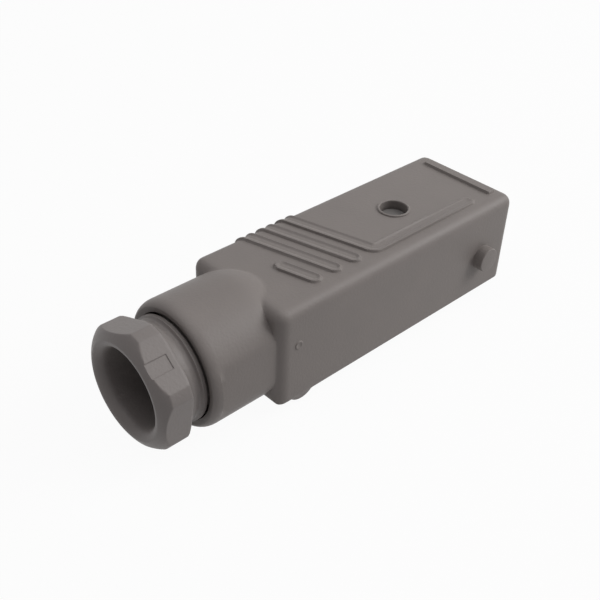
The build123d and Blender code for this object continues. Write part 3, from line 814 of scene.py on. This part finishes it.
def pale_world():
    """A plain room: dim to light the object, white where the camera, a mirror or glass sees it."""
    shader = Shader(bpy.data.worlds.new("Studio"))
    dim = shader.node("ShaderNodeBackground", {}, {"Color": (1.0, 0.965, 1.02, 1.0), "Strength": 0.20})
    white = shader.node("ShaderNodeBackground", {}, {"Color": (1.0, 1.0, 1.0, 1.0), "Strength": 1.0})
    return shader.output(shader.mix_shaders(shader.seen(), dim, white), "ShaderNodeOutputWorld")


# Stage

# Places in metres. The camera's turn is a rotation vector from the world to the camera's own
# view, with y down and z away.
FLOOR_HALF, FLOOR_Z = 4.0, -0.0002
LAMP_AIM = (0.0, 0.0, 0.012)
CAMERA_PLACE = (-0.12046, -0.11665, 0.13261)
CAMERA_TURN = (2.085, -0.807, 0.456)
SENSOR_WIDTH, LENS = 36.0, 55.76


def lay_floor(material):
    """A wide square just under the object."""
    mesh = bpy.data.meshes.new("floor")
    corners = ((-1, -1), (1, -1), (1, 1), (-1, 1))
    mesh.from_pydata([(FLOOR_HALF * x, FLOOR_HALF * y, FLOOR_Z) for x, y in corners], [], [(0, 1, 2, 3)])
    mesh.materials.append(material)
    link_new("floor", mesh)


def hang_lamp(name, place, size, power):
    """A square soft lamp at place, turned towards the object."""
    data = bpy.data.lights.new(name, "AREA")
    data.shape = "SQUARE"
    data.size = size
    data.energy = power
    light = link_new(name, data)
    light.location = place
    aim = Vector(LAMP_AIM) - Vector(place)
    light.rotation_euler = aim.to_track_quat("-Z", "Y").to_euler()


def set_camera(scene):
    """The photograph's camera."""
    data = bpy.data.cameras.new("photo_camera")
    data.sensor_width = SENSOR_WIDTH
    data.lens = LENS
    data.clip_start, data.clip_end = 0.01, 20.0
    turn = Vector(CAMERA_TURN)
    view = Matrix.Rotation(turn.length, 3, turn.normalized())
    facing = view.transposed() @ Matrix.Diagonal((1, -1, -1))
    camera = link_new("photo_camera", data)
    camera.matrix_world = Matrix.Translation(CAMERA_PLACE) @ facing.to_4x4()
    scene.camera = camera


# Add-on

def size_property(name, description, default, least, most):
    """A length, in metres as Blender's own lengths are."""
    return bpy.props.FloatProperty(name=name, description=description, default=default, min=least, max=most,
                                   subtype="DISTANCE", unit="LENGTH", precision=5)


def colour_property(name, description, default):
    return bpy.props.FloatVectorProperty(name=name, description=description, default=default, size=3,
                                         min=0.0, max=1.0, subtype="COLOR")


class CONNECTOR_PG_sizes(bpy.types.PropertyGroup):
    """Sizes of the raised details."""
    rib_height: size_property("Rib height", "Height of the ribs over the top", 0.00054, 0.0002, 0.001)
    rib_width: size_property("Rib width", "Width of each rib", 0.0036, 0.002, 0.005)
    bar_height: size_property("Bar height", "Height of the bar at the mating end", 0.00064, 0.0003, 0.0015)


class CONNECTOR_PG_finishes(bpy.types.PropertyGroup):
    """Colours of the finishes."""
    housing: colour_property("Housing", "Colour of the housing's plastic", (0.204, 0.183, 0.171))
    gland: colour_property("Gland nut", "Colour of the gland nut's plastic", (0.207, 0.187, 0.177))
    carrier: colour_property("Contact carrier", "Colour of the carrier's plastic", (0.150, 0.142, 0.136))
    rubber: colour_property("Seal", "Colour of the rubber seal", (0.02, 0.02, 0.022))
    contact: colour_property("Contacts", "Colour of the contacts' metal", (0.80, 0.64, 0.36))
    steel: colour_property("Fasteners", "Colour of screws and plates", (0.60, 0.60, 0.58))
    floor: colour_property("Floor", "Colour of the floor", (0.65, 0.65, 0.65))


def finishes():
    return bpy.context.scene.connector_finishes


def dress(names, material):
    """Gives CAD nodes a material in every slot."""
    for name in names:
        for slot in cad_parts[name].material_slots:
            slot.material = material


class CONNECTOR_OT_housing(bpy.types.Operator):
    """Builds the housing"""
    bl_idname = "connector.housing"
    bl_label = "Housing"

    def execute(self, context):
        material = moulded_plastic("Housing plastic", finishes().housing, grain=0.00004, gloss=0.50)
        build_housing(context.scene.connector_sizes, material)
        return {"FINISHED"}


class CONNECTOR_OT_gland_nut(bpy.types.Operator):
    """Builds the gland nut"""
    bl_idname = "connector.gland_nut"
    bl_label = "Gland nut"

    def execute(self, context):
        material = moulded_plastic("Gland plastic", finishes().gland, grain=0.00005, gloss=0.46)
        make_piece("gland_nut_moulding", gland_nut_shape(), "gland_nut", material,
                   "gland_nut", NUT_CREASE)
        return {"FINISHED"}


class CONNECTOR_OT_seal(bpy.types.Operator):
    """Dresses the rubber seal and the thrust ring"""
    bl_idname = "connector.seal"
    bl_label = "Seal and thrust ring"

    def execute(self, context):
        dress(["cable_seal"], soft_rubber("Seal rubber", finishes().rubber))
        dress(["thrust_ring"], bright_metal("Ring steel", finishes().steel,
                                            brushed=(300.0, 2500.0, 2500.0), gloss=0.34))
        return {"FINISHED"}


class CONNECTOR_OT_carrier(bpy.types.Operator):
    """Dresses the contact carrier and the cord clamp's bar"""
    bl_idname = "connector.carrier"
    bl_label = "Contact carrier"

    def execute(self, context):
        dress(["contact_carrier", "cord_bar"],
              moulded_plastic("Carrier plastic", finishes().carrier, grain=0.00002, gloss=0.48))
        return {"FINISHED"}


class CONNECTOR_OT_contacts(bpy.types.Operator):
    """Dresses the four contacts"""
    bl_idname = "connector.contacts"
    bl_label = "Contacts"

    def execute(self, context):
        dress(["line_contact_left", "line_contact_middle", "line_contact_right", "earth_contact"],
              bright_metal("Contact metal", finishes().contact, brushed=(5200.0, 260.0, 260.0), gloss=0.26))
        return {"FINISHED"}


class CONNECTOR_OT_fasteners(bpy.types.Operator):
    """Dresses the clamp plates, the terminal screws and the cord clamp's screws"""
    bl_idname = "connector.fasteners"
    bl_label = "Plates and screws"

    def execute(self, context):
        kinds = ("line_%s_left", "line_%s_middle", "line_%s_right", "earth_%s")
        dress([kind % "clamp_plate" for kind in kinds],
              bright_metal("Plate steel", finishes().steel, brushed=(300.0, 3200.0, 300.0), gloss=0.36))
        dress([kind % "terminal_screw" for kind in kinds] + ["cord_screw_left", "cord_screw_right"],
              bright_metal("Screw steel", finishes().steel, brushed=(300.0, 300.0, 4200.0), gloss=0.30))
        return {"FINISHED"}


class CONNECTOR_OT_stage(bpy.types.Operator):
    """Lays the floor, hangs the lamps and sets the camera"""
    bl_idname = "connector.stage"
    bl_label = "Floor, lamps and camera"

    def execute(self, context):
        scene = context.scene
        lay_floor(pale_floor("Floor paper", finishes().floor))
        scene.world = pale_world()
        hang_lamp("key_lamp", place=(0.60, -0.41, 0.54), size=0.55, power=5.3)
        hang_lamp("top_lamp", place=(-0.05, 0.1, 0.8), size=0.7, power=2.0)
        set_camera(scene)
        scene.view_settings.view_transform = "Standard"
        return {"FINISHED"}


OPERATORS = (CONNECTOR_OT_housing, CONNECTOR_OT_gland_nut, CONNECTOR_OT_seal, CONNECTOR_OT_carrier,
             CONNECTOR_OT_contacts, CONNECTOR_OT_fasteners, CONNECTOR_OT_stage)


class CONNECTOR_PT_panel(bpy.types.Panel):
    """Lists the pieces of the connector"""
    bl_label = "Power connector"
    bl_idname = "CONNECTOR_PT_panel"
    bl_space_type = "VIEW_3D"
    bl_region_type = "UI"
    bl_category = "Connector"

    def draw(self, context):
        for group in (context.scene.connector_sizes, context.scene.connector_finishes):
            for key in group.__annotations__:
                self.layout.prop(group, key)
        for operator in OPERATORS:
            self.layout.operator(operator.bl_idname)


CLASSES = (CONNECTOR_PG_sizes, CONNECTOR_PG_finishes) + OPERATORS + (CONNECTOR_PT_panel,)


def register():
    for item in CLASSES:
        bpy.utils.register_class(item)
    bpy.types.Scene.connector_sizes = bpy.props.PointerProperty(type=CONNECTOR_PG_sizes)
    bpy.types.Scene.connector_finishes = bpy.props.PointerProperty(type=CONNECTOR_PG_finishes)


def unregister():
    del bpy.types.Scene.connector_sizes
    del bpy.types.Scene.connector_finishes
    for item in reversed(CLASSES):
        bpy.utils.unregister_class(item)


def main():
    register()
    bpy.ops.connector.housing()
    bpy.ops.connector.gland_nut()
    bpy.ops.connector.seal()
    bpy.ops.connector.carrier()
    bpy.ops.connector.contacts()
    bpy.ops.connector.fasteners()
    bpy.ops.connector.stage()


if __name__ == "__main__":
    main()
